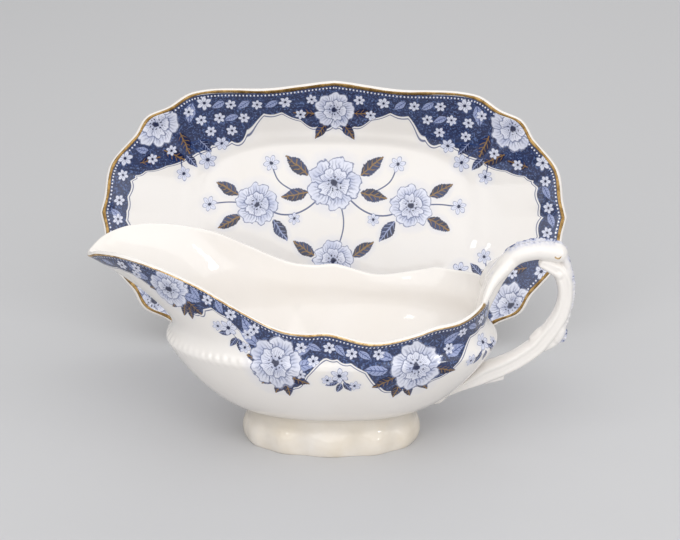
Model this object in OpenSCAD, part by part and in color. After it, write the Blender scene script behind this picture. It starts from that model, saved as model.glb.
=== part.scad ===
// Gravy boat on a foot, with its loose oblong under-tray stood on edge behind it.
// Millimetres. The origin is the centre of the foot on the table, +Z is up, the
// spout points along -X and the handle along +X. The tray stands on the +Y side.

/* [Bowl] */
// Reach of the spout's lip from the middle of the foot
spout_reach = 108; // [98:1:118]
// Reach of the rim at the handle end from the middle of the foot
back_reach = 70; // [66:0.5:74]
// Width across the rim
rim_w = 85; // [76:1:94]
// Height of the lowest dip of the rim
rim_low_h = 62; // [59:0.5:68]
// Height of the crest of the spout
spout_h = 92.5; // [86:0.5:104]
// Reach of the belly under the spout
belly_front = 74; // [68:0.5:80]
// Reach of the belly at the handle end
belly_back = 74.5; // [70:0.5:79]
// Width across the belly
belly_w = 87; // [78:1:96]
// Height of the belly's widest line
belly_h = 49; // [45:0.5:52]
// Depth of the hollow neck above the belly, at the sides
neck_side = 1.4; // [0.4:0.1:2.5]
// Depth of the hollow neck above the belly, at the ends
neck_end = 4; // [1.5:0.1:5]
// Height of the underside of the bowl over the table
base_h = 14.5; // [12:0.5:17]
// Thickness of the cast wall
wall = 3.6; // [2.8:0.1:4.6]

/* [Foot] */
// Length of the foot
foot_len = 81; // [70:1:90]
// Width of the foot
foot_w = 56; // [50:1:62]
// How far the rolled foot swells out past the seam
foot_flare = 3; // [1.5:0.1:4]
// Thickness of the foot's wall
foot_wall = 5.5; // [4:0.1:7]
// Lobes round the foot
foot_lobes = 12; // [6:1:16]
// Depth of the lobes
foot_lobe = 0.9; // [0.2:0.1:1.4]

/* [Handle] */
// Reach of the handle's outer edge from the middle of the foot
handle_reach = 108.5; // [102:0.5:116]
// Height of the top of the handle
handle_top_h = 95.5; // [90:0.5:104]
// Height of the tip where the lower end meets the bowl
handle_low_h = 18.5; // [16.5:0.5:22]
// Thickness of the stem, seen from the side
stem_t = 7.4; // [6:0.1:9]
// Width of the stem, seen from behind
stem_w = 9; // [7:0.1:11]
// Height of the leaf frill on the outer edge
frill_h = 1.4; // [0.6:0.1:2.5]

/* [Under-tray] */
// Length of the tray
tray_len = 233; // [210:1:255]
// Width of the tray
tray_w = 134; // [120:0.5:148]
// Depth of the tray from the rim to the underside of its foot rim
tray_depth = 22; // [17:0.5:28]
// Length of the well
well_len = 142; // [120:1:160]
// Width of the well
well_w = 76; // [60:1:86]
// Thickness of the pressed tray
tray_wall = 4; // [3:0.1:5.5]
// Height of the foot rim under the tray
tray_foot_h = 2.6; // [1.5:0.1:4]
// Width of the foot rim under the tray
tray_foot_w = 4; // [2.5:0.1:6]
// Angle at which the tray leans back
tray_lean = 20; // [8:1:30]
// Distance from the middle of the foot to the tray's lower edge
tray_back = 95; // [86:1:130]
// Sideways place of the tray's middle
tray_side = -4; // [-20:1:20]

/* [Hidden] */

// Points round the bowl, the foot, the stem and the tray
bowl_n = 72;
foot_n = 96;
stem_n = 16;
tray_n = 120;

// Fullness of the plan outlines: 2 is an ellipse, more is squarer
spout_full = 1.8;
back_full = 2.8;
belly_full = 2.25;
tray_full = 2.6;
well_full = 3;

// Curve of the belly below its widest line, of the flare above it, and of the turn into the base
belly_curve = 1.2;
flare_curve = 2.1;
base_turn = 4;

// The rim from the spout's lip to the handle end: [share of the reach, share of the rise]
rim_line = [[-1, 0.80], [-0.95, 0.93], [-0.85, 1], [-0.7, 0.94], [-0.52, 0.74], [-0.37, 0.47],
            [-0.2, 0.185], [-0.09, 0.13], [0, 0.15], [0.28, 0], [0.6, 0.12], [0.83, 0.2], [1, 0.32]];

// Rings of the bowl's outside: shares of the way out to the belly, and of the way up to the rim
belly_rings = [0.16, 0.32, 0.46, 0.58, 0.69, 0.79, 0.87, 0.935, 0.98];
wall_rings = [0, 0.07, 0.16, 0.27, 0.39, 0.52, 0.65, 0.78, 0.9, 1];
// Height of the neck's middle above the belly's line, how narrow it is, and how it fades at the rim
neck_rise = 9;
neck_narrow = 2;
neck_fade = 3;
// Height of the rounded lip as a share of the wall
lip_round = 0.4;

// Rolled face of the foot: [share of the height, share of the flare]
foot_roll = [[1, 0], [0.86, 0.12], [0.7, 0.5], [0.55, 0.62], [0.4, 0.7], [0.24, 0.97], [0.1, 1],
             [-0.06, 0.78]];
// How much shallower the lobes are at the two ends of the foot, as a share of their depth
lobe_fade = 0.8;
// How far the foot is let into the bowl at the seam
foot_bed = 0.8;
// Depth of the slice that is ground off flat under the foot
foot_grind = 5;

// Line of the handle: [share of the reach past the rim, share of the height], top to bottom
handle_line = [[-0.015, 0.645], [0.005, 0.72], [0.11, 0.835], [0.36, 0.94], [0.645, 0.975], [0.87, 0.937],
               [0.985, 0.85], [1, 0.742], [0.945, 0.622], [0.805, 0.525], [0.565, 0.45], [0.3, 0.398],
               [0.055, 0.348]];
// Points where the lower end lies along the bowl: [height above the tip, gap from the bowl]
handle_root = [[9.6, 5.6], [6.2, 3.4], [3, 1.6], [0, 0.3]];
// Thickness along the stem, as shares of stem_t, one for each point of the line and of the root
stem_swell = [0.6, 0.8, 0.95, 1, 1.1, 1.15, 1.02, 0.95, 0.95, 1, 1.08, 1.18, 1.26, 1.15, 0.92, 0.6, 0.25];
// Steps between two points of the line, and how far to each side its direction is taken
stem_steps = 3;
stem_look = 0.02;
// Places on the line of the knob, the thumb spur and the leaf tip, and how far each stands out
knob = [5.2, 1.7];
spur = [9.6, 2.6];
leaf_tip = [11.4, 2.2];
feature_len = 0.4;
// How narrow the ridge is on the outer side, and on the inner side
ridge_narrow = 8;
spur_narrow = 4;
// The frill runs between these places on the line, with so many teeth from one point to the next
frill_from = 3.4;
frill_to = 9.4;
frill_teeth = 1.5;
// Depth of the notches as a share of the frill, and how bluntly the frill ends
frill_notch = 0.5;
frill_end = 0.4;

// Waves of one quarter of the tray's edge: [angle from the end, share of the plain outline]
tray_waves = [[0, 1], [8, 0.985], [20, 0.988], [33.5, 0.964], [42, 0.998], [48, 0.985], [56.5, 1.016],
              [73, 0.954], [90, 1]];
// Section from the rim in to the well: [share of the way, share of the rise]
tray_section = [[0, 0.9], [0.015, 0.97], [0.05, 1], [0.1, 0.97], [0.25, 0.77], [0.45, 0.52], [0.65, 0.3],
                [0.82, 0.13], [0.94, 0.05], [1, 0]];
// Rings inside the well, as shares of its size
well_rings = [0.955, 0.7, 0.35];
// Size of the ring in the middle of the underside, as a share of the well
under_ring = 0.4;
// How far the well dips below its edge
well_dip = 0.9;
// The underside stops this many rings short of the well, and is drawn in at its outer rings
back_short = 3;
edge_rings = 2;
edge_in = 0.3;
// Slope of the foot rim's flanks
foot_slope = 1.2;

// Smooth value at x on a line of [x, value] points
function slope(p, i) =
    let (a = p[max(i - 1, 0)], b = p[min(i + 1, len(p) - 1)])
    (b[1] - a[1]) / (b[0] - a[0]);
function segment(p, x) = max([0, for (i = [1 : len(p) - 2]) if (x >= p[i][0]) i]);
function blend(a, b, da, db, u) =
    mix(a, b, 3 * u ^ 2 - 2 * u ^ 3) + da * (u ^ 3 - 2 * u ^ 2 + u) + db * (u ^ 3 - u ^ 2);
function along(p, x) =
    let (i = segment(p, x), w = p[i + 1][0] - p[i][0])
    blend(p[i][1], p[i + 1][1], slope(p, i) * w, slope(p, i + 1) * w, (x - p[i][0]) / w);

// Point of a list of points at a place that counts along the list
function between(p, k) =
    let (last = len(p) - 1, i = min(floor(k), last - 1), da = (p[i + 1] - p[max(i - 1, 0)]) / 2,
         db = (p[min(i + 2, last)] - p[i]) / 2)
    blend(p[i], p[i + 1], da, db, k - i);

// Rounded outline: reach along each way, and how full it is
function full(c, n) = sign(c) * abs(c) ^ (2 / n);
function unit(v) = v / norm(v);
function mix(a, b, u) = a + (b - a) * u;

// A closed skin over rings of points, with a middle point at each end
module skin(rings, first, last) {
    n = len(rings[0]);
    rows = len(rings);
    points = concat([first], [for (r = rings) each r], [last]);
    end = len(points) - 1;
    faces = concat(
        [for (c = [0 : n - 1]) [0, 1 + c, 1 + (c + 1) % n]],
        [for (r = [0 : rows - 2], c = [0 : n - 1])
            let (a = 1 + r * n + c, b = 1 + r * n + (c + 1) % n)
            each [[a, a + n, b], [b, a + n, b + n]]],
        [for (c = [0 : n - 1]) let (a = 1 + (rows - 1) * n) [end, a + (c + 1) % n, a + c]]);
    polyhedron(points, faces);
}

// Bowl: plan outlines of the belly and the rim, and the heights between them
function oval(t, length, width, n) = [length * full(cos(t), n), width * full(sin(t), n)];
function belly_plan(t) = oval(t, cos(t) < 0 ? belly_front : belly_back, belly_w / 2, belly_full);
function rim_plan(t) =
    cos(t) < 0 ? oval(t, spout_reach, rim_w / 2, spout_full) : oval(t, back_reach, rim_w / 2, back_full);
function rim_z(t) =
    let (x = rim_plan(t)[0], share = x / (x < 0 ? spout_reach : back_reach))
    rim_low_h + (spout_h - rim_low_h) * along(rim_line, share);
function rise(share) =
    let (curve = belly_h * (1 - (1 - share ^ 2) ^ (1 / belly_curve)))
    (curve ^ base_turn + base_h ^ base_turn) ^ (1 / base_turn);
function out_of(p) = unit([p[0] / belly_front ^ 2, p[1] / (belly_w / 2) ^ 2]);
function neck(t, q, z) =
    let (h = (z - belly_h) / neck_rise, depth = mix(neck_side, neck_end, cos(t) ^ 2))
    depth * (h * exp(1 - h)) ^ neck_narrow * (1 - q ^ neck_fade);

function belly_ring(share) =
    [for (c = [0 : bowl_n - 1]) let (p = share * belly_plan(c * 360 / bowl_n)) [p[0], p[1], rise(share)]];
function wall_ring(q) =
    [for (c = [0 : bowl_n - 1])
        let (t = c * 360 / bowl_n, z = mix(rise(1), rim_z(t) - lip_round * wall, q), belly = belly_plan(t),
             p = mix(belly, rim_plan(t), q ^ flare_curve) - neck(t, q, z) * out_of(belly))
        [p[0], p[1], z]];

// Outward direction at each point of a grid of rings
function outward(g) =
    let (rows = len(g), n = len(g[0]))
    [for (r = [0 : rows - 1]) [for (c = [0 : n - 1])
        let (round = g[r][(c + 1) % n] - g[r][(c + n - 1) % n],
             up = g[min(r + 1, rows - 1)][c] - g[max(r - 1, 0)][c])
        unit(cross(round, up))]];

module bowl() {
    outside = concat([for (s = belly_rings) belly_ring(s)], [for (q = wall_rings) wall_ring(q)]);
    out = outward(outside);
    top = len(outside) - 1;
    inside = [for (r = [top : -1 : 0]) outside[r] - wall * out[r]];
    lip_up = [0, 0, lip_round * wall];
    lip = [for (c = [0 : bowl_n - 1]) outside[top][c] - wall / 2 * out[top][c] + lip_up];
    color("ivory") skin(concat(outside, [lip], inside), [0, 0, base_h], [0, 0, base_h + wall]);
}

// Foot: a rolled, lobed ring let into the underside of the bowl, ground flat on the table
function belly_share(p) =
    let (reach = p[0] < 0 ? belly_front : belly_back)
    (abs(p[0] / reach) ^ belly_full + abs(p[1] / belly_w * 2) ^ belly_full) ^ (1 / belly_full);
function foot_plan(t) = oval(t, foot_len / 2 - foot_flare, foot_w / 2 - foot_flare, belly_full);
function lobe_in(t) = foot_lobe * (1 - lobe_fade * cos(t) ^ 4) * (cos(foot_lobes * t) - 1);
function foot_ring(r, inset, bed = 0) =
    [for (c = [0 : foot_n - 1])
        let (t = c * 360 / foot_n, seam = foot_plan(t),
             p = seam + ((foot_flare + lobe_in(t)) * r[1] - inset) * out_of(seam))
        [p[0], p[1], r[0] * rise(belly_share(seam)) + bed]];

module foot() {
    seam = foot_roll[0];
    outer = concat([foot_ring(seam, foot_bed, foot_bed)], [for (r = foot_roll) foot_ring(r, 0)]);
    inner = [for (i = [len(foot_roll) - 1 : -1 : 1]) foot_ring(foot_roll[i], foot_wall)];
    color("cornsilk") difference() {
        ring_skin(concat(outer, inner, [foot_ring(seam, foot_wall, foot_bed)]));
        translate([-foot_len, -foot_w, -foot_grind]) cube([2 * foot_len, 2 * foot_w, foot_grind]);
    }
}

// A skin over rings that close on themselves, as round a tube bent into a loop
module ring_skin(rings) {
    n = len(rings[0]);
    rows = len(rings);
    faces = [for (r = [0 : rows - 1], c = [0 : n - 1])
        let (s = (r + 1) % rows, d = (c + 1) % n)
        each [[r * n + c, r * n + d, s * n + c], [r * n + d, s * n + d, s * n + c]]];
    polyhedron([for (r = rings) each r], faces);
}

// Handle: one stem swept along its line, with a knob, a thumb spur, a frill and a leaf tip on it
function belly_x(z) = belly_back * sqrt(1 - (1 - z / belly_h) ^ belly_curve);
handle_run = handle_reach - frill_h - stem_t / 2 - back_reach;
handle_rise = handle_top_h - stem_t / 2;
handle_points = concat(
    [for (p = handle_line) [back_reach + handle_run * p[0], handle_rise * p[1]]],
    [for (p = handle_root) let (z = handle_low_h + p[0]) [belly_x(z) + p[1], z]]);
stem_places = [for (k = [0 : stem_steps * (len(handle_points) - 1)]) k / stem_steps];
function bump(k, feature) = feature[1] * exp(-((k - feature[0]) / feature_len) ^ 2);
function frill(k) =
    let (share = (k - frill_from) / (frill_to - frill_from),
         notch = frill_notch * (1 - cos(360 * frill_teeth * k)) / 2)
    share < 0 || share > 1 ? 0 : frill_h * sin(180 * share) ^ frill_end * (1 - notch);
function stem_ring(k) =
    let (p = between(handle_points, k), last = len(handle_points) - 1,
         ahead = between(handle_points, min(k + stem_look, last)),
         behind = between(handle_points, max(k - stem_look, 0)),
         run = unit(ahead - behind), side = [-run[1], run[0]], size = between(stem_swell, k))
    [for (c = [0 : stem_n - 1])
        let (t = c * 360 / stem_n,
             ridge = max(0, cos(t)) ^ ridge_narrow * (frill(k) + bump(k, knob) + bump(k, leaf_tip)),
             thumb = max(0, -cos(t)) ^ spur_narrow * bump(k, spur),
             reach = stem_t / 2 * size * cos(t) + ridge - thumb)
        [p[0] + side[0] * reach, -stem_w / 2 * size * sin(t), p[1] + side[1] * reach]];

module handle() {
    rings = [for (k = stem_places) stem_ring(k)];
    first = between(handle_points, 0);
    last = between(handle_points, len(handle_points) - 1);
    color("ivory") skin(rings, [first[0], 0, first[1]], [last[0], 0, last[1]]);
}

// Under-tray: an oblong with waved edges, pressed round a flat well with a foot rim below
function tray_wave(t) =
    let (p = oval(t, 1, 1, tray_full), a = abs(atan2(p[1], p[0])))
    along(tray_waves, a > 90 ? 180 - a : a);
function tray_edge(t) = tray_wave(t) * oval(t, tray_len / 2, tray_w / 2, tray_full);
function well_edge(t) = oval(t, well_len / 2, well_w / 2, well_full);
function steep(x, size) = sign(x) * abs(x / size) ^ (well_full - 1) / size;
function well_out(p) = unit([steep(p[0], well_len), steep(p[1], well_w)]);
well_z = tray_foot_h + tray_wall;
tray_rise = tray_depth - well_z;
function tray_ring(share, z, inset = 0) =
    [for (c = [0 : tray_n - 1])
        let (t = c * 360 / tray_n, p = mix(tray_edge(t), well_edge(t), share), q = p - inset * unit(p))
        [q[0], q[1], z]];
function well_ring(inset, z) =
    [for (c = [0 : tray_n - 1])
        let (p = well_edge(c * 360 / tray_n), q = p - inset * well_out(p))
        [q[0], q[1], z]];
function floor_ring(size, z) =
    [for (c = [0 : tray_n - 1]) let (p = size * well_edge(c * 360 / tray_n)) [p[0], p[1], z]];

// Rings of the tray from the middle of its underside out to the edge and back over its face
foot_rings = [floor_ring(under_ring, tray_foot_h), well_ring(tray_foot_w + foot_slope, tray_foot_h),
              well_ring(tray_foot_w, 0), well_ring(0, 0), well_ring(-foot_slope, tray_foot_h)];
back_rings = [for (i = [len(tray_section) - back_short : -1 : 1]) let (s = tray_section[i])
    tray_ring(s[0], tray_foot_h + tray_rise * s[1], i <= edge_rings ? edge_in * tray_wall : 0)];
face_rings = [for (s = tray_section) tray_ring(s[0], well_z + tray_rise * s[1])];
well_floor = [for (size = well_rings) floor_ring(size, well_z - well_dip)];
tray_rings = concat(foot_rings, back_rings, face_rings, well_floor);

// Height of the tray's middle when its lowest point stands on the table
tray_lift = -min([for (r = tray_rings, p = r) p[1] * cos(tray_lean) + p[2] * sin(tray_lean)]);
tray_edge_y = tray_w / 2 * sin(tray_lean) + tray_depth * cos(tray_lean);

module under_tray() {
    color("ivory") translate([tray_side, tray_back + tray_edge_y, tray_lift]) rotate([90 - tray_lean, 0, 0])
        skin(tray_rings, [0, 0, tray_foot_h], [0, 0, well_z - well_dip]);
}

bowl();
foot();
handle();
under_tray();
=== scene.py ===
import math
from functools import partialmethod

import bpy
import numpy as np
from mathutils import Matrix, Vector, kdtree
from mathutils.bvhtree import BVHTree


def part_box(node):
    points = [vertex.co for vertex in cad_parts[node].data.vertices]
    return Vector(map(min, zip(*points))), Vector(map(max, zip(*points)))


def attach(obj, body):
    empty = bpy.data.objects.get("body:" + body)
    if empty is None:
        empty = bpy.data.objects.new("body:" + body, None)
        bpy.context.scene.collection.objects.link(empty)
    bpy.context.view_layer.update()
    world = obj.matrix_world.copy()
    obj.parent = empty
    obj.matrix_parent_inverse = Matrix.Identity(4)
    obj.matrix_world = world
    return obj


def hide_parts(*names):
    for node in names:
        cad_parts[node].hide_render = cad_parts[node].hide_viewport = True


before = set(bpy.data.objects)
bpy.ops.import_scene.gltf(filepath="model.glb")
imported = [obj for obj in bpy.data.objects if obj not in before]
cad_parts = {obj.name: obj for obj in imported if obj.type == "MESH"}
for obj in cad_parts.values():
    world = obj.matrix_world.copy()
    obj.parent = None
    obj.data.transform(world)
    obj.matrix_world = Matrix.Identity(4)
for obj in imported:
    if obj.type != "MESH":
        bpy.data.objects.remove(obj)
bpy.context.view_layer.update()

mm = 0.001

# The bowl: one slip-cast shell of ivory earthenware, with a long pouring spout and a waved rim.
# A cobalt transfer was laid round the outside before glazing, so the ink has bled a little.
# The foot and the handle are stuck to it with slip, and it carries them both.

bowl_low, bowl_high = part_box("bowl")
spout_reach = -bowl_low[0]
back_reach = 70 * mm
rim_half = 42.5 * mm
rim_low_h = 62 * mm
spout_h = 92.5 * mm
belly_front = 74 * mm
belly_back = bowl_high[0]
belly_half = 43.5 * mm
belly_h = 49 * mm
base_h = bowl_low[2]
wall = 3.6 * mm
lip_wall = 2.3 * mm
lip_drop = 0.4 * wall
lip_tall = 1.05

spout_full, back_full, belly_full = 1.8, 2.8, 2.25
belly_curve, flare_curve, base_turn = 1.2, 2.1, 4
neck_side, neck_end, neck_rise = 1.4 * mm, 4 * mm, 9 * mm
far_warp, handle_ripple = 0.9 * mm, 1.1 * mm
# The rim's line from the spout's tip to the handle: its place along the bowl and its height, as shares
rim_line = [(-1, 0.80), (-0.95, 0.93), (-0.85, 1), (-0.7, 0.94), (-0.52, 0.74), (-0.37, 0.47), (-0.2, 0.185),
            (-0.09, 0.13), (0, 0.15), (0.28, 0), (0.6, 0.12), (0.83, 0.2), (1, 0.32)]


def along(line, x):
    """Smooth value at each x on a line of (x, value) points."""
    px, py = np.array(line, float).T
    slope = np.empty_like(px)
    slope[1:-1] = (py[2:] - py[:-2]) / (px[2:] - px[:-2])
    slope[0] = (py[1] - py[0]) / (px[1] - px[0])
    slope[-1] = (py[-1] - py[-2]) / (px[-1] - px[-2])
    i = np.clip(np.searchsorted(px, x, side="right") - 1, 0, len(px) - 2)
    w = px[i + 1] - px[i]
    u = (x - px[i]) / w
    rise = 3 * u**2 - 2 * u**3
    ease = slope[i] * w * (u**3 - 2 * u**2 + u) + slope[i + 1] * w * (u**3 - u**2)
    return py[i] * (1 - rise) + py[i + 1] * rise + ease


def through(points, k):
    """Smooth line through points that are numbered from 0, at each number k."""
    return np.stack([along(list(enumerate(c)), k) for c in np.array(points, float).T], -1)


def bell(x, at, width, power=2):
    """1 at a place, falling to nothing on both sides of it."""
    return np.exp(-((x - at) / width) ** power)


def full(c, n):
    return np.sign(c) * np.abs(c) ** (2 / n)


def oval(t, length, width, n):
    """Plan outline: 2 is an ellipse, a larger n is squarer."""
    return np.stack([length * full(np.cos(t), n), width * full(np.sin(t), n)], -1)


def unit(v):
    return v / np.linalg.norm(v, axis=-1, keepdims=True)


def belly_plan(t):
    return oval(t, np.where(np.cos(t) < 0, belly_front, belly_back), belly_half, belly_full)


def rim_plan(t):
    front = oval(t, spout_reach, rim_half, spout_full)
    back = oval(t, back_reach, rim_half, back_full)
    return np.where((np.cos(t) < 0)[..., None], front, back)


def rim_z(t):
    """Height of the rim: a hair higher on its far side, from the mould, and rippled beside the handle."""
    x = rim_plan(t)[..., 0]
    share = x / np.where(x < 0, spout_reach, back_reach)
    warp = far_warp * bell(share, -0.4, 0.25) * np.clip(3 * np.sin(t), 0, 1)
    ripple = handle_ripple * bell(share, 0.68, 0.09)
    return rim_low_h + (spout_h - rim_low_h) * along(rim_line, share) + warp + ripple


def rise(share):
    curve = belly_h * (1 - (1 - share**2) ** (1 / belly_curve))
    return (curve**base_turn + base_h**base_turn) ** (1 / base_turn)


def out_of(plan):
    return unit(plan / np.array([belly_front**2, belly_half**2]))


def belly_row(t, share):
    plan = share * belly_plan(t)
    return np.column_stack([plan, np.full(len(t), rise(share))])


def wall_row(t, q):
    z = belly_h + (rim_z(t) - lip_drop - belly_h) * q
    belly = belly_plan(t)
    h = (z - belly_h) / neck_rise
    depth = neck_side + (neck_end - neck_side) * np.cos(t) ** 2
    neck = depth * (h * np.exp(1 - h)) ** 2 * (1 - q**3)
    plan = belly + (rim_plan(t) - belly) * q**flare_curve - neck[:, None] * out_of(belly)
    return np.column_stack([plan, z])


def run_of(line):
    """Distance along a line from its start to each of its points."""
    return np.concatenate([[0], np.cumsum(np.linalg.norm(np.diff(line, axis=0), axis=1))])


def even_angles(outline, count):
    """Angles that cut an outline, a function of the angle, into equal lengths, and the run to each."""
    t = np.linspace(0, 2 * math.pi, 40 * count + 1)
    length = run_of(outline(t))
    run = np.arange(count + 1) * length[-1] / count
    return np.interp(run[:-1], length, t), run


def outward(rows):
    """Direction out of the surface at each point of a grid of closed rows."""
    across = np.roll(rows, -1, 1) - np.roll(rows, 1, 1)
    up = np.gradient(rows, axis=0)
    return unit(np.cross(across, up))


def skin_faces(count, n, ends):
    """Faces over closed rows of n points. The skin is capped at both ends, or joined last row to first."""
    c = np.arange(n)
    d = (c + 1) % n
    last = count - 1 if ends else count
    faces = [np.column_stack([r * n + c, r * n + d, (r + 1) % count * n + d, (r + 1) % count * n + c])
             for r in range(last)]
    faces = np.concatenate(faces).tolist()
    if ends:
        faces += [c[::-1].tolist(), ((count - 1) * n + c).tolist()]
    return faces


def new_piece(name, mesh):
    mesh.shade_smooth()
    piece = bpy.data.objects.new(name, mesh)
    bpy.context.collection.objects.link(piece)
    return piece


def lay_skin(name, rows, ends=True):
    mesh = bpy.data.meshes.new(name)
    mesh.from_pydata(rows.reshape(-1, 3).tolist(), [], skin_faces(*rows.shape[:2], ends))
    return new_piece(name, mesh)


bowl_columns = 600
around, rim_run = even_angles(lambda t: np.column_stack([rim_plan(t), rim_z(t)]), bowl_columns)
belly_rows = [belly_row(around, s) for s in np.sin(np.linspace(0.03, math.pi / 2, 44))[:-1]]
wall_rows = [wall_row(around, q) for q in np.linspace(0, 1, 58)]
outside = np.array(belly_rows + wall_rows)
out = outward(outside)

# A row of cast beads runs along the belly's widest line and fades towards the handle.
bead_pitch = 3.9 * mm
bead_h = 0.5 * mm
belly_run = run_of(belly_plan(around))
bead_share = np.clip(0.45 - outside[..., 0] / belly_back, 0, 1)
above_belly = outside[..., 2] - belly_h
bead_line = bell(above_belly, 1.7 * mm, 1.15 * mm)
small_line = bell(above_belly, -0.8 * mm, 0.9 * mm)
ridge_line = bell(above_belly, -0.4 * mm, 2.6 * mm)
beads = np.cos(math.pi * belly_run / bead_pitch + 0.6 * np.sin(belly_run / (9 * mm))) ** 2
worn = 0.68 + 0.2 * np.sin(belly_run / (6.1 * mm)) + 0.12 * np.sin(belly_run / (2.3 * mm))
small_beads = small_line * (1 - beads) * np.clip(bead_share * 2 - 0.9, 0, 1)
relief = worn * (bead_line * beads + 0.4 * small_beads) + 0.22 * ridge_line
plain, plain_out = outside, out
outside = outside + out * (bead_share * bead_h * relief)[..., None]
out = outward(outside)

# The inside is smooth, most of all round its widest line, and the wall thins to a rounded lip.
thin = np.concatenate([np.full(len(belly_rows), wall), np.linspace(wall, lip_wall, len(wall_rows))])
inside = (plain - plain_out * thin[:, None, None])[::-1]
wipes, wipes_all_over, widest_rows = 240, 36, 22
from_widest = np.arange(1, len(inside) - 1) - len(wall_rows)
for wipe in range(wipes):
    soft = np.ones(len(from_widest)) if wipe < wipes_all_over else bell(from_widest, 0, widest_rows, 4)
    inside[1:-1] += 0.25 * soft[:, None, None] * (inside[:-2] - 2 * inside[1:-1] + inside[2:])
middle = outside[-1] - out[-1] * lip_wall / 2
up = unit(outside[-1] - outside[-2])
lip = [middle + lip_wall / 2 * (math.cos(a) * out[-1] + lip_tall * math.sin(a) * up)
       for a in np.linspace(0, math.pi, 11)[1:-1]]
inside_step = 2
bowl_rows = np.concatenate([outside, lip, inside[:1], inside[inside_step::inside_step]])
bowl = lay_skin("bowl_shell", bowl_rows)
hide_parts("bowl")
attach(bowl, "boat")


class Ink:
    """A number in a material's nodes, so that a printed figure can be written as a formula."""

    def __init__(self, nodes, socket):
        self.nodes, self.socket = nodes, socket

    def math(self, operation, *others, clamp=False):
        node = self.nodes.nodes.new("ShaderNodeMath")
        node.operation = operation
        node.use_clamp = clamp
        for entry, value in zip(node.inputs, (self,) + others):
            put(self.nodes, entry, value)
        return Ink(self.nodes, node.outputs[0])

    __add__ = __radd__ = partialmethod(math, "ADD")
    __sub__ = partialmethod(math, "SUBTRACT")
    __mul__ = __rmul__ = __and__ = partialmethod(math, "MULTIPLY")
    __truediv__ = partialmethod(math, "DIVIDE")
    __pow__ = partialmethod(math, "POWER")
    __abs__ = partialmethod(math, "ABSOLUTE")
    __or__ = partialmethod(math, "MAXIMUM")
    # Runs up and down between 0 and a width
    fold = partialmethod(math, "PINGPONG")

    def __rsub__(self, other):
        return (self * -1) + other

    def under(self, edge, soft):
        """1 where the number is under the edge and 0 over it, with a soft change."""
        return ((edge - self) / soft + 0.5).math("ADD", 0, clamp=True)

    def line(self, at, width, soft):
        """1 on a line of that width round a value."""
        return abs(self - at).under(width / 2, soft)

    def bell(self, at, width):
        return (((self - at) / width) ** 2 * -1).math("EXPONENT")


def put(nodes, entry, value):
    """Sets a socket to a plain value, or links it to a number or a colour from another node."""
    if isinstance(value, Ink):
        nodes.links.new(value.socket, entry)
    elif isinstance(value, bpy.types.NodeSocket):
        nodes.links.new(value, entry)
    else:
        entry.default_value = value


def blend_colour(nodes, share, under, over):
    """The colour under, covered by the colour over to that share."""
    mix = nodes.nodes.new("ShaderNodeMix")
    mix.data_type = "RGBA"
    put(nodes, mix.inputs["Factor"], share)
    for entry, value in ((mix.inputs["A"], under), (mix.inputs["B"], over)):
        put(nodes, entry, value if isinstance(value, bpy.types.NodeSocket) else (*value, 1))
    return mix.outputs["Result"]


def laid(nodes, name):
    """What was laid on the mesh under that name, as the outputs of a node."""
    node = nodes.nodes.new("ShaderNodeAttribute")
    node.attribute_name = name
    return node.outputs


def figure(nodes, name, shake=0):
    """The three numbers of a figure that was laid on the mesh, with the engraver's hand a little unsteady."""
    split = nodes.nodes.new("ShaderNodeSeparateXYZ")
    nodes.links.new(laid(nodes, name)["Vector"], split.inputs[0])
    x, y, third = [Ink(nodes, out) for out in split.outputs]
    if shake:
        x += (grain(nodes, 2.6 * mm) - 0.5) * shake
        y += (grain(nodes, 3.4 * mm) - 0.5) * shake
    return x, y, third


def grain(nodes, size, detail=2, distort=0):
    """Cloudy variation with patches of that size in metres, from 0 to 1."""
    place = nodes.nodes.new("ShaderNodeTexCoord")
    node = nodes.nodes.new("ShaderNodeTexNoise")
    nodes.links.new(place.outputs["Object"], node.inputs["Vector"])
    node.inputs["Scale"].default_value = 1 / size
    node.inputs["Detail"].default_value = detail
    node.inputs["Distortion"].default_value = distort
    return Ink(nodes, node.outputs["Fac"])


glaze_white = (0.87, 0.835, 0.80)
glaze_warm = (0.82, 0.77, 0.705)
ink_dark = (0.004, 0.009, 0.048)
ink_mid = (0.024, 0.052, 0.17)
ink_light = (0.12, 0.19, 0.40)
ink_pale = (0.33, 0.38, 0.60)
ink_wash = (0.60, 0.63, 0.78)
petal_white = (0.76, 0.775, 0.88)
vein_gold = (0.30, 0.17, 0.045)


def new_finish(name):
    """A new material, its nodes and its main shader."""
    material = bpy.data.materials.new(name)
    material.use_nodes = True
    return material, material.node_tree, material.node_tree.nodes["Principled BSDF"]


def new_glaze(name, lumps=0.10, lump_size=5 * mm):
    """Clear lead glaze over the ivory body, and the nodes that it is painted with."""
    material, nodes, gloss = new_finish(name)
    gloss.inputs["IOR"].default_value = 1.49
    gloss.inputs["Coat Weight"].default_value = 0.15
    gloss.inputs["Coat Roughness"].default_value = 0.04
    clay = blend_colour(nodes, (grain(nodes, 28 * mm) - 0.42) * 0.9, glaze_white, glaze_warm)
    put(nodes, gloss.inputs["Roughness"], grain(nodes, 9 * mm) * 0.06 + 0.03)
    ripple = nodes.nodes.new("ShaderNodeBump")
    ripple.inputs["Strength"].default_value = lumps
    ripple.inputs["Distance"].default_value = 0.4 * mm
    put(nodes, ripple.inputs["Height"], grain(nodes, lump_size, detail=1))
    nodes.links.new(ripple.outputs["Normal"], gloss.inputs["Normal"])
    return material, nodes, gloss, clay


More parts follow.
